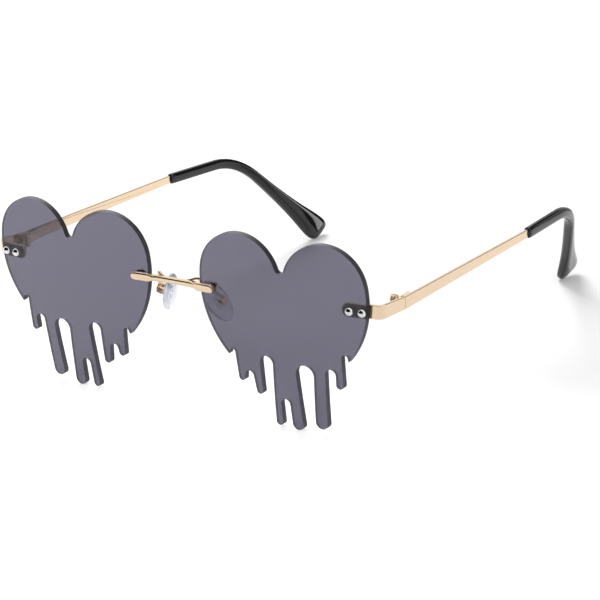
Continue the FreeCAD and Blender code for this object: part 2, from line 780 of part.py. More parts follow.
def make_temple():
    strip = make_strip()
    core = core_box("core", "0")
    knuckle = cylinder("centre_knuckle", "Size.barrel_diameter", "Size.centre_height",
                       "Place.axis_x", "Place.axis_y", "Place.centre_bottom")
    leaf = box("leaf", "Size.barrel_inset - Size.leaf_gap", "Size.barrel_lead + Size.leaf_length",
               "Size.centre_height", "Place.axis_x", "Place.axis_y", "Place.centre_bottom")
    foot = box("leaf_foot", "Size.barrel_inset + Size.strip_thickness / 2",
               "Size.leaf_length - Size.leaf_gap", "Size.leaf_height",
               "Place.axis_x", "Size.joint_depth + Size.leaf_gap",
               "Place.joint_level - Size.leaf_height / 2")
    solid = fuse("temple_solid", [strip, core, knuckle, leaf, foot])
    return cut("temple_left", solid, [hinge_bore("temple_bore")])


# Temple tips: a ruled loft along a straight run, a bend and a straight run that spreads to a paddle


def tip_path():
    """Corner points of the tip's middle line, in the temple's own frame."""
    start = Vector(0, value("Size.temple_run"), -value("Size.temple_drop"))
    sleeve = Vector(-value("Size.sleeve_inward"), value("Size.sleeve_run"), -value("Size.sleeve_drop"))
    paddle = Vector(-value("Size.tip_inward"), value("Size.tip_back"), -value("Place.tip_fall"))
    return start, start + sleeve, start + sleeve + paddle


def tip_frame(point, heading, twist, lean=0):
    """Placement of a section whose X is the tip's thickness and whose Y is its width.

    Twist turns it about the heading, and lean brings its upper edge forward along the heading.
    """
    across = Vector(heading.y, -heading.x, 0).normalize()
    up = across.cross(heading)
    matrix = FreeCAD.Matrix(across.x, up.x, -heading.x, point.x, across.y, up.y, -heading.y, point.y,
                            across.z, up.z, -heading.z, point.z, 0, 0, 0, 1)
    turned = Rotation(Vector(0, 0, 1), -twist) * Rotation(Vector(1, 0, 0), -lean)
    return Placement(matrix) * Placement(Vector(), turned)


def tip_stations():
    """Sections of the tip: placement, width and thickness."""
    start, corner, end = tip_path()
    first = (corner - start).normalize()
    last = (end - corner).normalize()
    turn = first.getAngle(last)
    radius = value("Size.tip_bend_radius")
    cut_back = radius * math.tan(turn / 2)
    enter = corner - first * cut_back
    leave = corner + last * cut_back
    axis = first.cross(last).normalize()
    hub = enter + axis.cross(first) * radius
    full_twist = value("Size.paddle_end_twist")
    full_lean = value("Size.paddle_end_lean")
    _, wide, thick, twist, _ = TIP_SECTION_SHARES[0]
    stations = [(tip_frame(start, first, 0), "Size.tip_height", "Size.tip_thickness")]
    for step in range(TIP_BEND_STEPS):
        share = step / TIP_BEND_STEPS
        swing = Rotation(axis, math.degrees(turn) * share)
        width = f"Size.tip_height * {1 - share} + Size.paddle_end_width * {wide * share}"
        thickness = f"Size.tip_thickness * {1 - share} + Size.paddle_end_thickness * {thick * share}"
        frame = tip_frame(hub + swing * (enter - hub), swing * first, full_twist * twist * share)
        stations.append((frame, width, thickness))
    for place, wide, thick, twist, lean in TIP_SECTION_SHARES:
        frame = tip_frame(leave + (end - leave) * place, last, full_twist * twist, full_lean * lean)
        stations.append((frame, f"Size.paddle_end_width * {wide}", f"Size.paddle_end_thickness * {thick}"))
    return stations


def make_temple_tip():
    sections = []
    for index, (frame, width, thickness) in enumerate(tip_stations()):
        sketch = doc.addObject("Sketcher::SketchObject", f"tip_section_{index}")
        corner = f"min(Size.tip_corner; {CORNER_SHARE} * ({width}); {CORNER_SHARE} * ({thickness}))"
        rounded_rectangle(sketch, thickness, width, corner)
        sketch.Placement = temple_frame() * frame
        sections.append(sketch)
    loft = ruled_loft("tip_loft", sections)
    return cut("temple_tip_left", loft, [core_box("tip_socket", "Size.hole_clearance")])


# Bridge: a cast bar set back between the lenses, with a round-ended paddle and a post on each lens front


def cast_section(sketch, depth, height, corner):
    """Section about the sketch's origin, with its front corners rounded and its rear ones square."""
    rear = value(depth) / 2
    half = value(height) / 2
    radius = value(corner)
    turn_in = radius - rear
    outline = (
        (Vector(rear, -half, 0), Vector(rear, half, 0)),
        (Vector(rear, half, 0), Vector(turn_in, half, 0)),
        math.pi / 2,
        (Vector(-rear, half - radius, 0), Vector(-rear, radius - half, 0)),
        math.pi,
        (Vector(turn_in, -half, 0), Vector(rear, -half, 0)),
    )
    for item in outline:
        if isinstance(item, tuple):
            sketch.addGeometry(Part.LineSegment(*item), False)
        else:
            side = half - radius if item < math.pi else radius - half
            circle = Part.Circle(Vector(turn_in, side, 0), Vector(0, 0, 1), radius)
            sketch.addGeometry(Part.ArcOfCircle(circle, item, item + math.pi / 2), False)
    for kind, line in (("Vertical", 0), ("Horizontal", 1), ("Vertical", 3), ("Horizontal", 5)):
        sketch.addConstraint(Sketcher.Constraint(kind, line))
    for first, second in ((5, 0), (0, 1)):
        sketch.addConstraint(Sketcher.Constraint("Coincident", first, 2, second, 1))
    for first in (1, 2, 3, 4):
        sketch.addConstraint(Sketcher.Constraint("Tangent", first, 2, first + 1, 1))
    for arc in (2, 4):
        fix(sketch, "Radius", corner, arc)
    fix(sketch, "DistanceX", f"({depth}) / 2", -1, 1, 0, 1)
    fix(sketch, "DistanceX", f"-({depth}) / 2", -1, 1, 3, 1)
    fix(sketch, "DistanceY", f"({height}) / 2", -1, 1, 1, 1)
    fix(sketch, "DistanceY", f"-({height}) / 2", -1, 1, 5, 1)


def bridge_rows():
    """Sections of the wearer's left half, from the bar out: plan point, turn, depth and height."""
    seat_turn = value("Place.paddle_turn")
    middle = "(Place.paddle_face + Place.paddle_back) / 2"
    inner = "(Place.paddle_inner - Place.paddle_x) / cos(Place.paddle_turn)"
    _, inner_face = on_lens("paddle", inner, "Place.paddle_face")
    neck_front = f"(Place.bar_front + {inner_face}) / 2"
    neck_point = ("Place.paddle_inner - Size.neck_length", f"(Place.bar_rear + {neck_front}) / 2")
    rows = [
        (("Place.bar_half", "Size.bar_set_back"), 0, "Size.bar_depth", "Size.bar_height"),
        (neck_point, 0, f"Place.bar_rear - {neck_front}", "Size.neck_height"),
        (on_lens("paddle", inner, middle), seat_turn, "Size.paddle_thickness", "Size.paddle_height"),
    ]
    for share in PADDLE_END_SHARES:
        along = f"Size.paddle_reach - Size.paddle_corner * {1 - share}"
        drop = 1 - math.sqrt(1 - share**2)
        height = f"Size.paddle_height - 2 * Size.paddle_corner * {drop}"
        rows.append((on_lens("paddle", along, middle), seat_turn, "Size.paddle_thickness", height))
    return rows


def make_bridge():
    rows = bridge_rows()
    twins = [((f"-({x})", y), -turn, depth, height) for (x, y), turn, depth, height in rows]
    sections = []
    for index, ((x, y), turn, depth, height) in enumerate(twins[::-1] + rows):
        sketch = doc.addObject("Sketcher::SketchObject", f"bridge_section_{index}")
        cast_section(sketch, depth, height, f"min(Size.bridge_round; {CORNER_SHARE} * ({height}))")
        put(sketch, x, y, "Place.seat_level", Rotation(Vector(0, 0, 1), turn) * ACROSS_X)
        sections.append(sketch)
    loft = ruled_loft("bridge_bar", sections)
    post_length = "Place.plate_front + Size.seat_gap + Size.nut_height / 2"
    post = cylinder("bridge_post", "Size.post_diameter", post_length,
                    *on_lens("paddle", "0", "Place.paddle_back"), "Place.seat_level", lens_seat("paddle"))
    return fuse("bridge", [loft, post, mirror("bridge_post_twin", post)])


def make_bridge_nut():
    x, y = on_lens("paddle", "0", "Place.plate_front")
    turn = lens_seat("paddle")
    blank = cylinder("nut_blank", "Size.nut_diameter", "Size.nut_height", x, y, "Place.seat_level", turn)
    x, y = on_lens("paddle", "0", "Place.plate_front - Size.overrun")
    bore = cylinder("nut_bore", "Size.post_diameter + 2 * Size.hole_clearance",
                    "Size.overrun + Size.nut_height / 2 + Size.hole_clearance", x, y, "Place.seat_level",
                    turn)
    return cut("bridge_nut_left", blank, [bore])


# Nose pads: their own frame has X towards the nose, Y along the screw and Z up the pad


def pad_frame():
    turn = Rotation(Vector(0, 0, 1), 180 - value("Size.pad_splay"))
    turn = turn * Rotation(Vector(0, 1, 0), value("Size.pad_tilt"))
    turn = turn * Rotation(Vector(1, 0, 0), -value("Size.pad_roll"))
    centre = Vector(value("Place.pad_x"), value("Size.pad_depth"), value("Place.pad_z"))
    return Placement(centre, turn)


def put_on_pad(item):
    """Move a finished piece from the pad's own frame to its place."""
    frame = pad_frame()
    item.Placement = frame
    for axis, expression in zip("xyz", ("Place.pad_x", "Size.pad_depth", "Place.pad_z")):
        item.setExpression(f"Placement.Base.{axis}", expression)
    return item


ALONG_Y = Rotation(Vector(1, 0, 0), -90)


def make_insert():
    """Insert plate flush with the pad's back, with a round-ended tongue that the screw passes through."""
    plate = box("insert_plate", "Size.insert_thickness", "Size.insert_width", "Size.insert_length",
                "-Size.pad_back", "-Size.insert_width / 2", "-Size.insert_length / 2")
    tongue = box("insert_tongue", "Size.tongue_reach", "Size.tongue_thickness", "Size.tongue_height",
                 "-Place.screw_depth", "-Size.tongue_thickness / 2", "-Size.tongue_height / 2")
    end = cylinder("insert_end", "Size.tongue_height", "Size.tongue_thickness", "-Place.screw_depth",
                   "-Size.tongue_thickness / 2", "0", ALONG_Y)
    bore = pad_screw_bore("insert_bore")
    return put_on_pad(cut("pad_insert_left", fuse("insert_solid", [plate, tongue, end]), [bore]))


def pad_screw_bore(name):
    return cylinder(name, "Size.pad_screw_diameter + 2 * Size.hole_clearance", "2 * Size.box_width",
                    "-Place.screw_depth", "-Size.box_width", "0", ALONG_Y)


def oval(sketch, across, up, end_radius):
    """Oval of two end arcs and two flatter side arcs about the sketch's origin."""
    half_x = value(across) / 2
    half_y = value(up) / 2
    small = value(end_radius)
    middle = half_y - small
    large = (middle**2 + half_x**2 - small**2) / (half_x - small) / 2
    swing = math.atan2(middle, large - half_x)
    arcs = (
        (Vector(half_x - large, 0, 0), large, -swing, swing),
        (Vector(0, middle, 0), small, swing, math.pi - swing),
        (Vector(large - half_x, 0, 0), large, math.pi - swing, math.pi + swing),
        (Vector(0, -middle, 0), small, math.pi + swing, 2 * math.pi - swing),
    )
    for centre, radius, start, end in arcs:
        circle = Part.Circle(centre, Vector(0, 0, 1), radius)
        sketch.addGeometry(Part.ArcOfCircle(circle, start, end), False)
    for index in range(4):
        sketch.addConstraint(Sketcher.Constraint("Tangent", index, 2, (index + 1) % 4, 1))
    for index, sign in ((1, ""), (3, "-")):
        sketch.addConstraint(Sketcher.Constraint("PointOnObject", index, 3, -2))
        fix(sketch, "DistanceY", f"{sign}(({up}) / 2 - {end_radius})", -1, 1, index, 3)
        fix(sketch, "Radius", end_radius, index)
    run = f"(({up}) / 2 - {end_radius})"
    side = f"({run}^2 + ({across})^2 / 4 - {end_radius}^2) / (({across}) / 2 - {end_radius}) / 2"
    for index in (0, 2):
        fix(sketch, "Radius", side, index)


def make_nose_pad():
    sections = []
    for index, (level, share) in enumerate(PAD_SECTION_SHARES):
        sketch = doc.addObject("Sketcher::SketchObject", f"pad_section_{index}")
        oval(sketch, f"Size.pad_width * {share}", f"Size.pad_length * {share}",
             f"(Size.pad_end_radius * {share})")
        put(sketch, f"(Size.pad_back + Size.pad_crown) * {level} - Size.pad_back", turn=ACROSS_X)
        sections.append(sketch)
    pocket = box("pad_pocket", "Size.insert_thickness + Size.hole_clearance + Size.overrun",
                 "Size.insert_width + 2 * Size.hole_clearance",
                 "Size.insert_length + 2 * Size.hole_clearance",
                 "-Size.pad_back - Size.overrun", "-Size.insert_width / 2 - Size.hole_clearance",
                 "-Size.insert_length / 2 - Size.hole_clearance")
    return put_on_pad(cut("nose_pad_left", ruled_loft("pad_blank", sections), [pocket]))


def make_pad_screw():
    shank = cylinder("pad_shank", "Size.pad_screw_diameter", "Size.box_width", "-Place.screw_depth",
                     "-Size.box_width / 2", "0", ALONG_Y)
    head = cylinder("pad_head", "Size.pad_screw_head", "Size.pad_screw_head_height", "-Place.screw_depth",
                    "Size.box_width / 2", "0", ALONG_Y)
    return put_on_pad(fuse("pad_screw_left", [shank, head]))


def make_pad_arm():
    block = box("arm_block", "Place.box_back - Place.box_front", "Size.box_width", "Size.box_width",
               "-Place.box_back", "-Size.box_width / 2", "-Size.box_width / 2")
    slot = box("arm_slot", "Place.slot_back", "Size.tongue_thickness + 2 * Size.box_slot_clearance",
               "2 * Size.box_width", "-Place.slot_back",
               "-Size.tongue_thickness / 2 - Size.box_slot_clearance", "-Size.box_width")
    root = Vector(*(value(f"Place.{name}") for name in ("arm_root_x", "bar_rear", "arm_root_z")))
    loop = Vector(*(value(f"Place.arm_loop_{axis}") for axis in "xyz"))
    socket = Vector(-value("Place.box_back - Size.box_wall / 2"), 0, value("Size.box_width / 4"))
    end = pad_frame().multVec(socket)
    first = (loop - root).normalize()
    last = (end - loop).normalize()
    normal = first.cross(last).normalize()
    side = normal.cross(first)
    matrix = FreeCAD.Matrix(first.x, side.x, normal.x, root.x, first.y, side.y, normal.y, root.y,
                            first.z, side.z, normal.z, root.z, 0, 0, 0, 1)
    turn = first.getAngle(last)
    radius = value("Size.arm_bend")
    cut_back = radius * math.tan(turn / 2)
    corner = Vector((loop - root).Length, 0, 0)
    heading = Vector(math.cos(turn), math.sin(turn), 0)
    enter = corner - Vector(cut_back, 0, 0)
    body = new_body("arm_wire")
    spine = body.newObject("Sketcher::SketchObject", "arm_path")
    spine.addGeometry(Part.LineSegment(Vector(-value("Size.overrun"), 0, 0), enter), False)
    circle = Part.Circle(enter + Vector(0, radius, 0), Vector(0, 0, 1), radius)
    spine.addGeometry(Part.ArcOfCircle(circle, -math.pi / 2, turn - math.pi / 2), False)
    leave = corner + heading * cut_back
    spine.addGeometry(Part.LineSegment(leave, corner + heading * (end - loop).Length), False)
    profile = sketch_on(body, "arm_section", "YZ_Plane", "-Size.overrun")
    bearings = [2 * math.pi * (index + 0.5) / WIRE_CORNERS for index in range(WIRE_CORNERS)]
    polygon(profile, [(f"Size.arm_wire / 2 * {math.cos(bearing)}", f"Size.arm_wire / 2 * {math.sin(bearing)}")
                      for bearing in bearings])
    doc.recompute()
    pipe = body.newObject("PartDesign::AdditivePipe", "arm_pipe")
    pipe.Profile = profile
    pipe.Spine = (spine, ["Edge1", "Edge2", "Edge3"])
    doc.recompute()
    body.Placement = Placement(matrix)
    bar = box("arm_foot_tool", "Place.lens_edge", "2 * Size.bar_depth", "4 * Size.bar_height",
              "0", "Place.bar_rear - 2 * Size.bar_depth", "Place.seat_level - 2 * Size.bar_height")
    wire = cut("arm_soldered", body, [bar])
    case = put_on_pad(cut("arm_case", block, [slot]))
    opening = put_on_pad(fuse("arm_opening", [slot, pad_screw_bore("arm_bore")]))
    return cut("pad_arm_left", fuse("arm_solid", [wire, case]), [opening])


def main():
    makers = (make_lens, make_rivets, make_end_piece, make_hinge_screw, make_temple, make_temple_tip,
              make_bridge_nut, make_pad_arm, make_insert, make_nose_pad, make_pad_screw)
    lefts = [maker() for maker in makers]
    subparts = [make_bridge()]
    for left in lefts:
        subparts += [left, mirror(left.Name.replace(*SIDES), left)]
    doc.recompute()
    failed = [item.Name for item in doc.Objects if {"Invalid", "Error"} & set(item.State)]
    if failed:
        raise ValueError(f"failed features: {failed}")
    for item in subparts:
        item.Label = item.Name
        if item.Shape.isNull() or not item.Shape.isValid():
            raise ValueError(f"bad shape: {item.Label}")
    os.makedirs("parts", exist_ok=True)
    for item in subparts:
        item.Shape.exportStep(f"parts/{item.Label}.step")


main()
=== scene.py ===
import math

import bpy
from bpy.props import FloatProperty, FloatVectorProperty, PointerProperty
from mathutils import Matrix, Vector


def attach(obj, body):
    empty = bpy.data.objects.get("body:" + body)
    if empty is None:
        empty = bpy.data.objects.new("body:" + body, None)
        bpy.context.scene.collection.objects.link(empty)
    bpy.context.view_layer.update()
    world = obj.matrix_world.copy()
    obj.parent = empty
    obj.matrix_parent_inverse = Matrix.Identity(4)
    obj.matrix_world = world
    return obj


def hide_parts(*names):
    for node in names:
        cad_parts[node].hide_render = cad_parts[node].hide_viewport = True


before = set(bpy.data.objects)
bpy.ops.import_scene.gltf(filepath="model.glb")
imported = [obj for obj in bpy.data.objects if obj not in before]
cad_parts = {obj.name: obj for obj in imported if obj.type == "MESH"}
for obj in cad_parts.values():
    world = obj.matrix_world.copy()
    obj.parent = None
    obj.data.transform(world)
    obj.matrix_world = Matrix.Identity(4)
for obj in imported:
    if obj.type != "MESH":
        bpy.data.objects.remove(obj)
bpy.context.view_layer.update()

bl_info = {
    "name": "Heart Sunglasses Looks",
    "version": (1, 0, 0),
    "blender": (4, 5, 0),
    "location": "View3D > Sidebar > Sunglasses",
    "description": "Finishes, nose pads and temple tips for heart sunglasses, with a plain studio",
    "category": "Object",
}

SIDES = ("left", "right")
MM = 0.001
MERGE = 0.01 * MM
WHITE = (1.0, 1.0, 1.0, 1.0)
EVEN = (1.0, 1.0, 1.0)

# Metals: name, tone, ends of the roughness, and stretch of the hairlines along the piece
METALS = (
    ("gold_strip", "gold", (0.12, 0.2), (1.0, 0.02, 1.0)),
    ("gold_cast", "gold", (0.1, 0.18), (0.05, 1.0, 1.0)),
    ("gold_small", "gold", (0.12, 0.22), EVEN),
    ("silver_rivet", "silver", (0.04, 0.1), EVEN),
)
SMALL_PIECES = ("bridge_nut", "pad_arm", "hinge_screw", "pad_screw")
# Rim of a lens: how far a normal faces front where the rim ends and where the face starts, and roughness
RIM_END = 0.5
FACE_START = 0.8
RIM_ROUGHNESS = 0.6

# Eased edges of the metal: widths, steps across, and angles in degrees of an edge and of a flat face
BRIDGE_EASE = 0.12 * MM
STRIP_EASE = 0.15 * MM
EASE_STEPS = 3
EDGE_ANGLE = 35.0
FLAT_ANGLE = 1.0
# Angles in degrees up to which metal and soft pieces shade smooth, and subdivisions of soft pieces
METAL_SMOOTH = 40.0
SOFT_SMOOTH = 60.0
SOFT_LEVELS = 2

# Nose pad: points of the oval, and its base and the inset of its face as shares of the pad
PAD_POINTS = 32
PAD_BASE = (0.9, 0.94)
PAD_INSET = 0.1
# Steps up a nose pad: rise as a share of the thickness, and spread
PAD_LIFTS = ((0.16, 1.09), (0.3, 1.02), (0.3, 0.93), (0.14, 0.8), (0.1, 0.7))

# Section of a tip before it is scaled: a unit square with its corners cut back in steps
TIP_CORNER = 0.37
TIP_CORNER_STEPS = 6
# Sections of the sleeve before its bend: place along the run, and size as a share of the sleeve's
SLEEVE_ROWS = ((0.0, 0.86), (0.02, 1.0), (0.25, 1.0), (0.5, 1.0), (0.75, 1.0))
TIP_BEND_ROWS = 8
# Sections after the bend: place, width, thickness and lean, as shares of the run and of the paddle's
PADDLE_ROWS = (
    (0.0, 0.31, 0.92, 0.0),
    (0.14, 0.335, 0.94, 0.05),
    (0.28, 0.376, 0.95, 0.1),
    (0.42, 0.445, 0.97, 0.2),
    (0.55, 0.535, 0.99, 0.3),
    (0.67, 0.67, 1.0, 0.5),
    (0.78, 0.83, 1.0, 0.7),
    (0.88, 0.96, 1.0, 0.9),
    (0.94, 0.96, 0.93, 1.0),
    (0.975, 0.83, 0.75, 1.0),
    (0.99, 0.6, 0.5, 1.0),
)
# Path of a tip: steps between two knots, and share of the twist that is reached where the bend ends
TIP_PATH_STEPS = 48
TIP_LEAVE_TWIST = 0.4

# Floor: painted light at the front that only the camera sees, which washes out the shadows there, how far
# back it fades, and lift of what is seen
FLOOR_PAINTED_LIGHT = 0.42
FLOOR_FADE = 70.0 * MM
FLOOR_LIFT = 0.2
# World: strength as light, and strength where it is seen
WORLD_LIGHT = 0.55
WORLD_SEEN = 1.0
# Key lamp: place, the point it aims at, edge and power
KEY_PLACE = (-0.55, 0.6, 0.75)
KEY_AIM = (0.0, 0.06, 0.02)
KEY_EDGE = 0.5
KEY_POWER = 9.0
# Cards that only gloss reflects: centre and radius of a ring, bearings on it, rises and brightness
CARDS = (
    ("card_front", (0.0, 0.0), 1.5, (-165.0, -35.0), (2.0, 68.0), 0.0),
    ("card_behind", (0.0, 0.0), 1.5, (45.0, 107.0), (0.0, 45.0), 0.0),
    ("card_bright", (-0.05, 0.14), 0.15, (48.0, 66.0), (3.0, 28.0), 4.0),
    ("card_bend", (0.0645, 0.116), 0.06, (60.0, 128.0), (16.0, 46.0), 0.45),
)
CARD_RING_FACES = 144
CARD_COLOUR = (0.01, 0.01, 0.01, 1.0)
CARD_HIDDEN_FROM = ("camera", "diffuse", "transmission", "volume_scatter", "shadow")
# Camera: focal length in widths of the picture, and nearest distance that it sees
FOCAL_WIDTHS = 4.0
CLIP_START = 10.0 * MM


def length_property(name, text, default):
    """Length in metres that a user may change."""
    return FloatProperty(name=name, description=text, default=default, unit="LENGTH", precision=5)


def angle_property(name, text, degrees):
    """Angle that a user may change, given here in degrees."""
    return FloatProperty(name=name, description=text, default=math.radians(degrees), unit="ROTATION")


def place_property(name, text, default):
    """Point or run in metres that a user may change."""
    return FloatVectorProperty(name=name, description=text, default=default, size=3, unit="LENGTH",
                               subtype="XYZ", precision=5)


def colour_property(name, text, default):
    """Colour that a user may change."""
    return FloatVectorProperty(name=name, description=text, default=default, size=4, subtype="COLOR",
                               min=0.0, max=1.0)


class SunglassesFinishes(bpy.types.PropertyGroup):
    """Colours of the finishes."""

    lens: colour_property(
        "Lens", "Tint that light takes at each face of a lens", (0.146, 0.138, 0.187, 1.0))
    lens_rim: colour_property(
        "Lens rim", "Darker tint of a lens at its ground rim", (0.06, 0.057, 0.075, 1.0))
    gold: colour_property(
        "Gold", "Polished gold of the strips and the bridge", (0.86, 0.67, 0.48, 1.0))
    gold_deep: colour_property(
        "Deep gold", "Duller gold in the grain of the metal", (0.8, 0.58, 0.38, 1.0))
    silver: colour_property(
        "Silver", "Polished rivet metal", (0.84, 0.84, 0.85, 1.0))
    silver_deep: colour_property(
        "Deep silver", "Duller rivet metal in the grain", (0.72, 0.72, 0.74, 1.0))
    tip: colour_property(
        "Temple tip", "Black of the temple tips", (0.01, 0.01, 0.011, 1.0))
    tip_pale: colour_property(
        "Rubbed tip", "Paler black where the tips are rubbed", (0.018, 0.018, 0.019, 1.0))
    silicone: colour_property(
        "Silicone", "Clear nose pads", (0.92, 0.94, 0.995, 1.0))
    core: colour_property(
        "Pad core", "Clear insert inside a nose pad", (0.9, 0.92, 0.96, 1.0))
    floor: colour_property(
        "Floor", "Plain pale floor", (0.8, 0.8, 0.8, 1.0))


class SunglassesPads(bpy.types.PropertyGroup):
    """Sizes and place of a nose pad."""

    length: length_property("Length", "Height of a pad along its face", 13.8 * MM)
    width: length_property("Width", "Width of a pad", 7.7 * MM)
    crown: length_property("Crown", "Height of the face over the pad's middle plane", 1.5 * MM)
    back: length_property("Back", "Depth of the back under the pad's middle plane", 0.7 * MM)
    across: length_property("Across", "Place of a pad from the middle of the nose", 8.7 * MM)
    depth: length_property("Depth", "Place of a pad behind the lens fronts", 9.8 * MM)
    level: length_property("Level", "Height of a pad's middle over the floor", 31.9 * MM)
    splay: angle_property("Splay", "Turn of a pad about the upright axis", 13.4)
    tilt: angle_property("Tilt", "Lean of a pad towards the nose", 18.0)
    roll: angle_property("Roll", "Turn of a pad in its own plane", 26.5)


class SunglassesTips(bpy.types.PropertyGroup):
    """Sizes and place of a temple tip, measured from the strip's front end."""

    height: length_property("Height", "Height of the sleeve", 3.4 * MM)
    thickness: length_property("Thickness", "Thickness of the sleeve", 2.6 * MM)
    paddle_width: length_property("Paddle width", "Width of the paddle at its end", 10.8 * MM)
    paddle_thickness: length_property("Paddle thickness", "Thickness of the paddle", 3.6 * MM)
    bend: length_property("Bend", "Radius of the bend over the ear", 24.0 * MM)
    twist: angle_property("Twist", "Twist of the paddle at its end", 38.0)
    lean: angle_property("Lean", "Lean of the paddle's end, whose upper edge is ahead", 18.0)
    turn: angle_property("Turn", "Turn of the temple outwards", 0.7)
    hinge: place_property(
        "Hinge", "Front end of the strip", (67.0 * MM, 16.05 * MM, 38.2 * MM))
    start: place_property(
        "Start", "Start of the sleeve from the strip's front end", (0.0, 72.2 * MM, -2.5 * MM))
    sleeve: place_property(
        "Sleeve", "Run of the sleeve to its corner", (-2.4 * MM, 33.3 * MM, -2.1 * MM))
    fall: place_property(
        "Fall", "Run of the paddle from the corner", (-15.25 * MM, 27.05 * MM, -32.55 * MM))


class SunglassesStage(bpy.types.PropertyGroup):
    """Camera and floor."""

    turn: angle_property("Turn", "Turn of the camera round the sunglasses", 34.474)
    rise: angle_property("Rise", "Height of the camera as an angle", 20.222)
    lean: angle_property("Lean", "Roll of the camera", -3.242)
    distance: length_property("Distance", "Distance of the camera from its target", 656.994 * MM)
    target_x: length_property("Target across", "Place across that the camera looks at", 43.524 * MM)
    target_z: length_property("Target up", "Height that the camera looks at", 40.726 * MM)
    view: angle_property(
        "View", "Angle that the camera sees across", 2.0 * math.degrees(math.atan(0.5 / FOCAL_WIDTHS)))
    floor_size: length_property("Floor", "Edge of the floor", 4.0)


# Node tools


def fill(links, node, parts):
    """Feed the named inputs of a node with sockets or plain values."""
    for name, part in parts.items():
        if isinstance(part, bpy.types.NodeSocket):
            links.new(part, node.inputs[name])
        else:
            node.inputs[name].default_value = part
    return node


def add_node(nodes, links, kind, parts):
    """New node with its named inputs fed."""
    return fill(links, nodes.new(kind), parts)


def calculate(nodes, links, operation, *parts, clamp=False):
    """Result of a Math node on sockets or plain values."""
    node = nodes.new("ShaderNodeMath")
    node.operation = operation
    node.use_clamp = clamp
    fill(links, node, dict(enumerate(parts)))
    return node.outputs[0]


def fresh_material(name):
    """New node material, with its nodes, links and Principled shader."""
    material = bpy.data.materials.new(name)
    material.use_nodes = True
    nodes = material.node_tree.nodes
    shader = next(node for node in nodes if node.type == "BSDF_PRINCIPLED")
    return material, nodes, material.node_tree.links, shader


def fresh_group(name, inputs, outputs):
    """Empty node group with named value sockets, and its input and output nodes."""
    group = bpy.data.node_groups.new(name, "ShaderNodeTree")
    for socket, kind, default in inputs:
        item = group.interface.new_socket(socket, in_out="INPUT", socket_type=kind)
        if default is not None:
            item.default_value = default
    for socket in outputs:
        group.interface.new_socket(socket, in_out="OUTPUT", socket_type="NodeSocketFloat")
    return group, group.nodes.new("NodeGroupInput"), group.nodes.new("NodeGroupOutput")


def grain_group():
    """Soft cloudy grain: a roughness between two ends, a mask and a height."""
    if "soft_grain" in bpy.data.node_groups:
        return bpy.data.node_groups["soft_grain"]
    group, entry, leave = fresh_group(
        "soft_grain",
        (("Vector", "NodeSocketVector", None), ("Scale", "NodeSocketFloat", 400.0),
         ("Low", "NodeSocketFloat", 0.1), ("High", "NodeSocketFloat", 0.2)),
        ("Roughness", "Mask", "Height"),
    )
    nodes, links, given = group.nodes, group.links, entry.outputs
    cloud = add_node(nodes, links, "ShaderNodeTexNoise", {
        "Vector": given["Vector"], "Scale": given["Scale"], "Detail": 4.0, "Roughness": 0.6,
    }).outputs["Fac"]
    spread = add_node(nodes, links, "ShaderNodeMapRange", {
        "Value": cloud, "From Min": 0.3, "From Max": 0.7, "To Min": given["Low"], "To Max": given["High"],
    }).outputs["Result"]
    mask = add_node(nodes, links, "ShaderNodeMapRange", {
        "Value": cloud, "From Min": 0.35, "From Max": 0.75,
    }).outputs["Result"]
    fill(links, leave, {"Roughness": spread, "Mask": mask, "Height": cloud})
    return group


def hairline_group():
    """Fine handling lines along one direction, as a mask and a height."""
    if "hairlines" in bpy.data.node_groups:
        return bpy.data.node_groups["hairlines"]
    group, entry, leave = fresh_group(
        "hairlines",
        (("Vector", "NodeSocketVector", None), ("Scale", "NodeSocketFloat", 3000.0),
         ("Share", "NodeSocketFloat", 0.6)),
        ("Mask", "Height"),
    )
    nodes, links, given = group.nodes, group.links, entry.outputs
    streak = add_node(nodes, links, "ShaderNodeTexNoise", {
        "Vector": given["Vector"], "Scale": given["Scale"], "Detail": 2.0,
    }).outputs["Fac"]
    cut = add_node(nodes, links, "ShaderNodeMapRange", {
        "Value": streak, "From Min": given["Share"], "From Max": 0.8,
    }).outputs["Result"]
    fill(links, leave, {"Mask": cut, "Height": streak})
    return group


def place_group(nodes, links, group, stretch=EVEN, **values):
    """Group node on Object coordinates, stretched along the piece's grain."""
    spot = nodes.new("ShaderNodeTexCoord")
    mapping = add_node(nodes, links, "ShaderNodeMapping", {
        "Vector": spot.outputs["Object"], "Scale": stretch,
    })
    node = nodes.new("ShaderNodeGroup")
    node.node_tree = group
    return fill(links, node, {"Vector": mapping.outputs["Vector"], **values})


def bump(nodes, links, height, strength, distance):
    """Normal of a surface raised by a height."""
    return add_node(nodes, links, "ShaderNodeBump", {
        "Strength": strength, "Distance": distance, "Height": height,
    }).outputs["Normal"]


def two_tone(nodes, links, mask, plain, other):
    """Colour that goes from one tone to another by a mask."""
    mix = nodes.new("ShaderNodeMix")
    mix.data_type = "RGBA"
    return fill(links, mix, {"A": plain, "B": other, "Factor": mask}).outputs["Result"]


def rim_mask(nodes, links):
    """One on the ground rim of a lens and nought on its faces."""
    spot = nodes.new("ShaderNodeTexCoord")
    split = add_node(nodes, links, "ShaderNodeSeparateXYZ", {"Vector": spot.outputs["Normal"]})
    return add_node(nodes, links, "ShaderNodeMapRange", {
        "Value": calculate(nodes, links, "ABSOLUTE", split.outputs["Y"]),
        "From Min": RIM_END, "From Max": FACE_START, "To Min": 1.0, "To Max": 0.0,
    }).outputs["Result"]


# Finishes


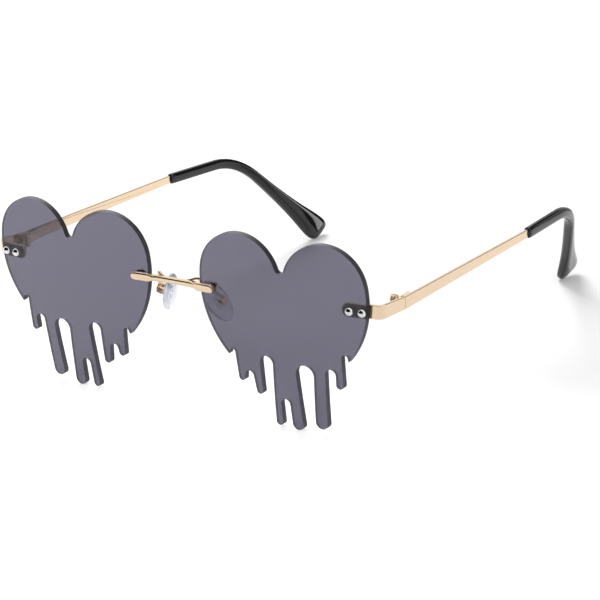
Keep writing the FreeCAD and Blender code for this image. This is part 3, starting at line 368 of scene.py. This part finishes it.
def lens_finish(looks):
    """Tinted lens, darker and rougher at its ground rim."""
    material, nodes, links, shader = fresh_material("tinted_lens")
    grain = place_group(nodes, links, grain_group(), Scale=90.0, Low=0.0, High=0.02)
    rim = rim_mask(nodes, links)
    fill(links, shader, {
        "Base Color": two_tone(nodes, links, rim, looks.lens, looks.lens_rim),
        "Roughness": calculate(
            nodes, links, "MULTIPLY_ADD", rim, RIM_ROUGHNESS, grain.outputs["Roughness"]),
        "Transmission Weight": 1.0, "IOR": 1.49, "Specular IOR Level": 0.3,
    })
    return material


def metal_finish(name, plain, deep, rough, stretch):
    """Polished metal with cloudy grain and fine lines along the piece."""
    material, nodes, links, shader = fresh_material(name)
    grain = place_group(nodes, links, grain_group(), Scale=350.0, Low=rough[0], High=rough[1])
    lines = place_group(nodes, links, hairline_group(), stretch, Scale=4000.0, Share=0.55)
    fill(links, shader, {
        "Base Color": two_tone(nodes, links, lines.outputs["Mask"], plain, deep),
        "Roughness": grain.outputs["Roughness"],
        "Metallic": 1.0,
        "Normal": bump(nodes, links, lines.outputs["Height"], strength=0.02, distance=0.02 * MM),
    })
    return material


def tip_finish(looks):
    """Glossy black of the tips, a little paler where they are rubbed."""
    material, nodes, links, shader = fresh_material("black_tip_gloss")
    grain = place_group(nodes, links, grain_group(), Scale=220.0, Low=0.05, High=0.08)
    fill(links, shader, {
        "Base Color": two_tone(nodes, links, grain.outputs["Mask"], looks.tip, looks.tip_pale),
        "Roughness": grain.outputs["Roughness"],
        "IOR": 1.46,
        "Normal": bump(nodes, links, grain.outputs["Height"], strength=0.01, distance=0.05 * MM),
    })
    return material


def clear_finish(name, tint, ior, clear):
    """Clear moulded material with a faint haze."""
    material, nodes, links, shader = fresh_material(name)
    grain = place_group(nodes, links, grain_group(), Scale=500.0, Low=0.0, High=0.025)
    fill(links, shader, {
        "Base Color": tint,
        "Roughness": grain.outputs["Roughness"],
        "Transmission Weight": clear, "IOR": ior,
        "Normal": bump(nodes, links, grain.outputs["Height"], strength=0.05, distance=0.05 * MM),
    })
    return material


def dress(node, material):
    """Give a carried-over CAD node its finish."""
    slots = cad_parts[node].data.materials
    slots.clear()
    slots.append(material)


def dress_pair(stem, material):
    """Give the left and the right node of a pair their finish."""
    for side in SIDES:
        dress(f"{stem}_{side}", material)


# Modelling tools


def deselect():
    """Leave edit mode with nothing selected."""
    if bpy.context.object and bpy.context.object.mode != "OBJECT":
        bpy.ops.object.mode_set(mode="OBJECT")
    bpy.ops.object.select_all(action="DESELECT")


def active(item):
    """Make one object the only one selected."""
    deselect()
    item.select_set(True)
    bpy.context.view_layer.objects.active = item


def edit_all():
    """Enter edit mode with everything selected."""
    bpy.ops.object.mode_set(mode="EDIT")
    bpy.ops.mesh.select_all(action="SELECT")


def edit_some(elements, kind, wanted):
    """Enter edit mode with only the wanted vertices or faces of the active mesh selected."""
    bpy.ops.object.mode_set(mode="EDIT")
    bpy.ops.mesh.select_mode(type=kind)
    bpy.ops.mesh.select_all(action="DESELECT")
    bpy.ops.object.mode_set(mode="OBJECT")
    for element in elements:
        element.select = wanted(element)
    bpy.ops.object.mode_set(mode="EDIT")


def face_outwards():
    """Turn all faces of the mesh outwards and leave edit mode."""
    bpy.ops.mesh.select_all(action="SELECT")
    bpy.ops.mesh.normals_make_consistent(inside=False)
    bpy.ops.object.mode_set(mode="OBJECT")


def apply_modifier(item, kind, name, **values):
    """Add a modifier, set it and apply it."""
    active(item)
    modifier = item.modifiers.new(name, kind)
    for key, value in values.items():
        setattr(modifier, key, value)
    bpy.ops.object.modifier_apply(modifier=modifier.name)


def smooth(item, degrees):
    """Shade an object smooth, apart from edges over an angle."""
    active(item)
    bpy.ops.object.shade_smooth_by_angle(angle=math.radians(degrees))


def settle(item, placement):
    """Put a finished piece in its place, with the place in its mesh."""
    item.matrix_world = placement
    active(item)
    bpy.ops.object.transform_apply(location=True, rotation=True, scale=True)


def twin(item, name):
    """Mirrored copy of a left-hand piece for the wearer's right, with its own mesh."""
    copy = item.copy()
    copy.data = item.data.copy()
    copy.name = name
    copy.data.name = name
    bpy.context.scene.collection.objects.link(copy)
    copy.scale = (-1.0, 1.0, 1.0)
    active(copy)
    bpy.ops.object.transform_apply(location=False, rotation=False, scale=True)
    bpy.ops.object.mode_set(mode="EDIT")
    face_outwards()
    return copy


def eased_copy(node, name, body, width, material):
    """Copy of a CAD node with eased edges, which stands for the node."""
    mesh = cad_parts[node].data.copy()
    mesh.name = name
    piece = bpy.data.objects.new(name, mesh)
    bpy.context.scene.collection.objects.link(piece)
    active(piece)
    bpy.ops.mesh.customdata_custom_splitnormals_clear()
    edit_all()
    bpy.ops.mesh.remove_doubles(threshold=MERGE)
    bpy.ops.mesh.dissolve_limited(angle_limit=math.radians(FLAT_ANGLE))
    face_outwards()
    apply_modifier(piece, "BEVEL", "ease", width=width, segments=EASE_STEPS, limit_method="ANGLE",
                   angle_limit=math.radians(EDGE_ANGLE), use_clamp_overlap=False)
    smooth(piece, METAL_SMOOTH)
    apply_modifier(piece, "WEIGHTED_NORMAL", "flatten", keep_sharp=True)
    mesh.materials.clear()
    mesh.materials.append(material)
    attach(piece, body)
    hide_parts(node)


# Pieces


class SUNGLASSES_OT_lenses(bpy.types.Operator):
    """Tint both heart lenses"""

    bl_idname = "sunglasses.lenses"
    bl_label = "Tint Lenses"

    def execute(self, context):
        dress_pair("lens", lens_finish(context.scene.sunglasses_finishes))
        return {"FINISHED"}


class SUNGLASSES_OT_metalwork(bpy.types.Operator):
    """Give the bridge, hinges, strips, arms and rivets their metals"""

    bl_idname = "sunglasses.metalwork"
    bl_label = "Finish Metalwork"

    def execute(self, context):
        looks = context.scene.sunglasses_finishes
        strip, cast, small, silver = (
            metal_finish(name, getattr(looks, tone), getattr(looks, f"{tone}_deep"), rough, stretch)
            for name, tone, rough, stretch in METALS
        )
        eased_copy("bridge", "cast_bridge", "front", BRIDGE_EASE, cast)
        for side in SIDES:
            eased_copy(f"temple_{side}", f"strip_{side}", f"temple_{side}", STRIP_EASE, strip)
            eased_copy(f"end_piece_{side}", f"end_plate_{side}", "front", STRIP_EASE, strip)
        for stem in SMALL_PIECES:
            dress_pair(stem, small)
        dress_pair("rivets", silver)
        return {"FINISHED"}


class SUNGLASSES_OT_nose_pads(bpy.types.Operator):
    """Model the clear nose pads and finish the inserts in them"""

    bl_idname = "sunglasses.nose_pads"
    bl_label = "Model Nose Pads"

    def execute(self, context):
        looks = context.scene.sunglasses_finishes
        silicone = clear_finish("clear_silicone", looks.silicone, ior=1.36, clear=0.82)
        dress_pair("pad_insert", clear_finish("clear_core", looks.core, ior=1.12, clear=1.0))
        left = self.model(context.scene.sunglasses_pads)
        left.data.materials.append(silicone)
        right = twin(left, "silicone_pad_right")
        for side, piece in zip(SIDES, (left, right)):
            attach(piece, f"nose_pad_{side}")
            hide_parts(f"nose_pad_{side}")
        return {"FINISHED"}

    @staticmethod
    def model(pads):
        """Crowned oval whose rim rolls over, with a flat back."""
        deselect()
        bpy.ops.mesh.primitive_circle_add(vertices=PAD_POINTS, radius=0.5, fill_type="NGON")
        piece = bpy.context.object
        piece.name = piece.data.name = "silicone_pad_left"
        edit_all()
        bpy.ops.transform.resize(value=(pads.width * PAD_BASE[0], pads.length * PAD_BASE[1], 1.0))
        thick = pads.crown + pads.back
        for rise, spread in PAD_LIFTS:
            bpy.ops.mesh.extrude_region_move(TRANSFORM_OT_translate={"value": (0.0, 0.0, thick * rise)})
            bpy.ops.transform.resize(value=(spread, spread, 1.0))
        bpy.ops.mesh.inset(thickness=pads.width * PAD_INSET)
        face_outwards()
        apply_modifier(piece, "SUBSURF", "soften", levels=SOFT_LEVELS, render_levels=SOFT_LEVELS)
        smooth(piece, SOFT_SMOOTH)
        lay = Matrix((
            (0.0, 0.0, 1.0, -pads.back),
            (1.0, 0.0, 0.0, 0.0),
            (0.0, 1.0, 0.0, 0.0),
            (0.0, 0.0, 0.0, 1.0),
        ))
        turn = Matrix.Rotation(math.pi - pads.splay, 4, "Z")
        turn = turn @ Matrix.Rotation(pads.tilt, 4, "Y") @ Matrix.Rotation(-pads.roll, 4, "X")
        settle(piece, Matrix.Translation((pads.across, pads.depth, pads.level)) @ turn @ lay)
        return piece


class SUNGLASSES_OT_temple_tips(bpy.types.Operator):
    """Model the black temple tips: a straight blank that spreads to a paddle, bent along its path"""

    bl_idname = "sunglasses.temple_tips"
    bl_label = "Model Temple Tips"

    def execute(self, context):
        left = self.model(context.scene.sunglasses_tips)
        left.data.materials.append(tip_finish(context.scene.sunglasses_finishes))
        right = twin(left, "sleeve_right")
        for side, piece in zip(SIDES, (left, right)):
            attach(piece, f"temple_{side}")
            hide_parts(f"temple_tip_{side}")
        return {"FINISHED"}

    @staticmethod
    def knots(tips):
        """Knots of a straight run, a round bend and a second straight run, and the length of each.

        A knot has a place, a heading, the lengths of its handles before and after it, and a tilt.
        """
        start, sleeve, fall = Vector(tips.start), Vector(tips.sleeve), Vector(tips.fall)
        heading = sleeve.normalized()
        last = fall.normalized()
        turn = heading.angle(last)
        cut = tips.bend * math.tan(turn / 2.0)
        corner = start + sleeve
        enter = corner - heading * cut
        leave = corner + last * cut
        end = corner + fall
        pull = tips.bend * math.tan(turn / 4.0) * 4.0 / 3.0
        runs = (sleeve.length - cut, tips.bend * turn, (end - leave).length)
        first_pull = runs[0] / 3.0
        last_pull = runs[2] / 3.0
        return (
            (start, heading, first_pull, first_pull, 0.0),
            (enter, heading, first_pull, pull, 0.0),
            (leave, last, pull, last_pull, TIP_LEAVE_TWIST * tips.twist),
            (end, last, last_pull, last_pull, tips.twist),
        ), runs

    @staticmethod
    def path(knots):
        """Curve through the knots."""
        data = bpy.data.curves.new("tip_path", "CURVE")
        data.dimensions = "3D"
        data.twist_mode = "Z_UP"
        data.resolution_u = TIP_PATH_STEPS
        spline = data.splines.new("BEZIER")
        spline.bezier_points.add(len(knots) - 1)
        for knot, (spot, heading, before, after, tilt) in zip(spline.bezier_points, knots):
            knot.handle_left_type = knot.handle_right_type = "FREE"
            knot.co = spot
            knot.handle_left = spot - heading * before
            knot.handle_right = spot + heading * after
            knot.tilt = tilt
        curve = bpy.data.objects.new("tip_path", data)
        bpy.context.scene.collection.objects.link(curve)
        return curve

    @staticmethod
    def sections(tips, runs):
        """Place along X, height, thickness and lean of each section of the blank."""
        sleeve, bend, fall = runs
        rows = [(sleeve * share, tips.height * ease, tips.thickness * ease, 0.0)
                for share, ease in SLEEVE_ROWS]
        _, wide, thick, _ = PADDLE_ROWS[0]
        for step in range(TIP_BEND_ROWS):
            share = step / TIP_BEND_ROWS
            rows.append((
                sleeve + bend * share,
                tips.height * (1.0 - share) + tips.paddle_width * wide * share,
                tips.thickness * (1.0 - share) + tips.paddle_thickness * thick * share,
                0.0,
            ))
        for share, wide, thick, lean in PADDLE_ROWS:
            rows.append((
                sleeve + bend + fall * share,
                tips.paddle_width * wide,
                tips.paddle_thickness * thick,
                tips.lean * lean,
            ))
        return rows

    @staticmethod
    def lean_sections(piece, rows):
        """Turn each section that leans about its own middle, and stay in edit mode."""
        bpy.ops.object.mode_set(mode="OBJECT")
        points = piece.data.vertices
        leaning = [(along, lean, {point.index for point in points if abs(point.co.x - along) < MERGE})
                   for along, _, _, lean in rows if lean]
        for along, lean, members in leaning:
            edit_some(points, "VERT", lambda point: point.index in members)
            bpy.ops.transform.rotate(value=-lean, orient_axis="Y", center_override=(along, 0.0, 0.0))

    @classmethod
    def blank(cls, rows):
        """Straight tip along X, drawn out section by section from a square with round corners."""
        deselect()
        bpy.ops.mesh.primitive_plane_add(size=1.0, rotation=(0.0, math.pi / 2.0, 0.0))
        piece = bpy.context.object
        piece.name = piece.data.name = "sleeve_left"
        bpy.ops.object.transform_apply(location=True, rotation=True, scale=True)
        edit_all()
        bpy.ops.mesh.bevel(offset=TIP_CORNER, segments=TIP_CORNER_STEPS, affect="VERTICES")
        bpy.ops.mesh.select_all(action="SELECT")
        reached, high, thick, _ = rows[0]
        bpy.ops.transform.resize(value=(1.0, thick, high))
        for along, height, thickness, _ in rows[1:]:
            bpy.ops.mesh.extrude_region_move(
                TRANSFORM_OT_translate={"value": (along - reached, 0.0, 0.0)})
            bpy.ops.transform.resize(value=(1.0, thickness / thick, height / high),
                                     center_override=(along, 0.0, 0.0))
            reached, high, thick = along, height, thickness
        cls.lean_sections(piece, rows)
        face_outwards()
        return piece

    @classmethod
    def model(cls, tips):
        """Left tip: the blank softened, bent along its path and put at the hinge."""
        knots, runs = cls.knots(tips)
        curve = cls.path(knots)
        piece = cls.blank(cls.sections(tips, runs))
        apply_modifier(piece, "SUBSURF", "soften", levels=SOFT_LEVELS, render_levels=SOFT_LEVELS)
        apply_modifier(piece, "CURVE", "bend", object=curve, deform_axis="POS_X")
        bpy.data.objects.remove(curve)
        smooth(piece, SOFT_SMOOTH)
        settle(piece, Matrix.Translation(tips.hinge) @ Matrix.Rotation(tips.turn, 4, "Z"))
        return piece


class SUNGLASSES_OT_stage(bpy.types.Operator):
    """Set up the floor, the light and the camera"""

    bl_idname = "sunglasses.stage"
    bl_label = "Set Up Stage"

    def execute(self, context):
        scene = context.scene
        stage = scene.sunglasses_stage
        scene.view_settings.view_transform = "Standard"
        self.floor(scene.sunglasses_finishes, stage)
        self.world(scene)
        self.key_lamp(scene)
        for card in CARDS:
            self.card(*card)
        self.camera(scene, stage)
        return {"FINISHED"}

    @staticmethod
    def seen_rays(nodes, links):
        """One for rays from the camera, off gloss or through glass, and nought for others."""
        rays = nodes.new("ShaderNodeLightPath").outputs
        total = rays["Is Camera Ray"]
        for name in ("Is Glossy Ray", "Is Transmission Ray"):
            total = calculate(nodes, links, "ADD", total, rays[name], clamp=True)
        return total

    def floor(self, looks, stage):
        """Pale floor that is lifted where it is seen, with painted light at the front for the camera that
        washes out the shadows there.
        """
        deselect()
        bpy.ops.mesh.primitive_plane_add(size=stage.floor_size)
        ground = bpy.context.object
        ground.name = ground.data.name = "floor"
        material, nodes, links, shader = fresh_material("floor_white")
        spot = nodes.new("ShaderNodeTexCoord")
        split = add_node(nodes, links, "ShaderNodeSeparateXYZ", {"Vector": spot.outputs["Object"]})
        # Painted light: the floor glows at the front for the camera alone, fading towards the back, which
        # washes out the shadows there
        fade = add_node(nodes, links, "ShaderNodeMapRange", {
            "Value": split.outputs["Y"],
            "From Min": 0.0, "From Max": FLOOR_FADE, "To Min": FLOOR_PAINTED_LIGHT, "To Max": 0.0,
        })
        rays = nodes.new("ShaderNodeLightPath").outputs
        painted_light = calculate(nodes, links, "MULTIPLY", fade.outputs["Result"], rays["Is Camera Ray"])
        seen = self.seen_rays(nodes, links)
        fill(links, shader, {
            "Base Color": looks.floor, "Roughness": 1.0, "Specular IOR Level": 0.0,
            "Emission Color": WHITE,
            "Emission Strength": calculate(nodes, links, "MULTIPLY_ADD", seen, FLOOR_LIFT, painted_light),
        })
        ground.data.materials.append(material)

    def world(self, scene):
        """White surroundings, brighter where they are seen than as light."""
        studio = bpy.data.worlds.new("studio")
        scene.world = studio
        studio.use_nodes = True
        nodes, links = studio.node_tree.nodes, studio.node_tree.links
        back = next(node for node in nodes if node.type == "BACKGROUND")
        level = add_node(nodes, links, "ShaderNodeMapRange", {
            "Value": self.seen_rays(nodes, links), "To Min": WORLD_LIGHT, "To Max": WORLD_SEEN,
        })
        fill(links, back, {"Color": WHITE, "Strength": level.outputs["Result"]})

    @staticmethod
    def key_lamp(scene):
        """Square lamp high behind the sunglasses, which gloss does not reflect."""
        lamp = bpy.data.lights.new("key", "AREA")
        lamp.shape = "SQUARE"
        lamp.size = KEY_EDGE
        lamp.energy = KEY_POWER
        item = bpy.data.objects.new("key", lamp)
        item.location = KEY_PLACE
        aim = Vector(KEY_AIM) - Vector(KEY_PLACE)
        item.rotation_euler = aim.to_track_quat("-Z", "Y").to_euler()
        item.visible_glossy = False
        scene.collection.objects.link(item)

    @staticmethod
    def card(name, centre, radius, bearings, rises, level):
        """Part of a ring, between two bearings and two rises, that only gloss reflects."""
        deselect()
        low, high = (radius * math.tan(math.radians(rise)) for rise in rises)
        bpy.ops.mesh.primitive_cylinder_add(
            vertices=CARD_RING_FACES, radius=radius, depth=high - low, end_fill_type="NOTHING",
            location=(*centre, (low + high) / 2.0))
        item = bpy.context.object
        item.name = item.data.name = name

        def outside(face):
            bearing = math.degrees(math.atan2(face.center.y, face.center.x))
            return not bearings[0] < bearing < bearings[1]

        edit_some(item.data.polygons, "FACE", outside)
        bpy.ops.mesh.delete(type="FACE")
        bpy.ops.object.mode_set(mode="OBJECT")
        material, _, links, shader = fresh_material(name)
        fill(links, shader, {
            "Base Color": CARD_COLOUR, "Specular IOR Level": 0.0,
            "Emission Color": WHITE, "Emission Strength": level,
        })
        item.data.materials.append(material)
        for ray in CARD_HIDDEN_FROM:
            setattr(item, f"visible_{ray}", False)

    @staticmethod
    def camera(scene, stage):
        """Camera turned, raised and rolled about the point it looks at."""
        lens = bpy.data.cameras.new("view")
        lens.sensor_fit = "HORIZONTAL"
        lens.angle = stage.view
        lens.clip_start = CLIP_START
        item = bpy.data.objects.new("view", lens)
        turn, rise, lean = stage.turn, stage.rise, stage.lean
        back = Vector((
            math.sin(turn) * math.cos(rise),
            -math.cos(turn) * math.cos(rise),
            math.sin(rise),
        ))
        right = Vector((math.cos(turn), math.sin(turn), 0.0))
        up = back.cross(right)
        across = right * math.cos(lean) + up * math.sin(lean)
        above = up * math.cos(lean) - right * math.sin(lean)
        spot = Vector((stage.target_x, 0.0, stage.target_z)) + back * stage.distance
        basis = Matrix((across, above, back)).transposed().to_4x4()
        item.matrix_world = Matrix.Translation(spot) @ basis
        scene.collection.objects.link(item)
        scene.camera = item


class SUNGLASSES_PT_panel(bpy.types.Panel):
    """Operators and settings of the sunglasses"""

    bl_idname = "SUNGLASSES_PT_panel"
    bl_label = "Heart Sunglasses"
    bl_space_type = "VIEW_3D"
    bl_region_type = "UI"
    bl_category = "Sunglasses"

    def draw(self, context):
        """List a button for each operator, then every setting."""
        for operator in OPERATORS:
            self.layout.operator(operator.bl_idname)
        for group in SETTINGS:
            settings = getattr(context.scene, group)
            for name in settings.bl_rna.properties.keys():
                if name not in ("rna_type", "name"):
                    self.layout.prop(settings, name)


OPERATORS = (
    SUNGLASSES_OT_lenses,
    SUNGLASSES_OT_metalwork,
    SUNGLASSES_OT_nose_pads,
    SUNGLASSES_OT_temple_tips,
    SUNGLASSES_OT_stage,
)
SETTINGS = {
    "sunglasses_finishes": SunglassesFinishes,
    "sunglasses_pads": SunglassesPads,
    "sunglasses_tips": SunglassesTips,
    "sunglasses_stage": SunglassesStage,
}
CLASSES = (*SETTINGS.values(), *OPERATORS, SUNGLASSES_PT_panel)


def register():
    """Register the classes and put the settings on the scene."""
    for cls in CLASSES:
        bpy.utils.register_class(cls)
    for name, group in SETTINGS.items():
        setattr(bpy.types.Scene, name, PointerProperty(type=group))


def unregister():
    """Take the settings off the scene and unregister the classes."""
    for name in SETTINGS:
        delattr(bpy.types.Scene, name)
    for cls in reversed(CLASSES):
        bpy.utils.unregister_class(cls)


def main():
    """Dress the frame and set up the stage."""
    register()
    bpy.ops.sunglasses.lenses()
    bpy.ops.sunglasses.metalwork()
    bpy.ops.sunglasses.nose_pads()
    bpy.ops.sunglasses.temple_tips()
    bpy.ops.sunglasses.stage()


if __name__ == "__main__":
    main()
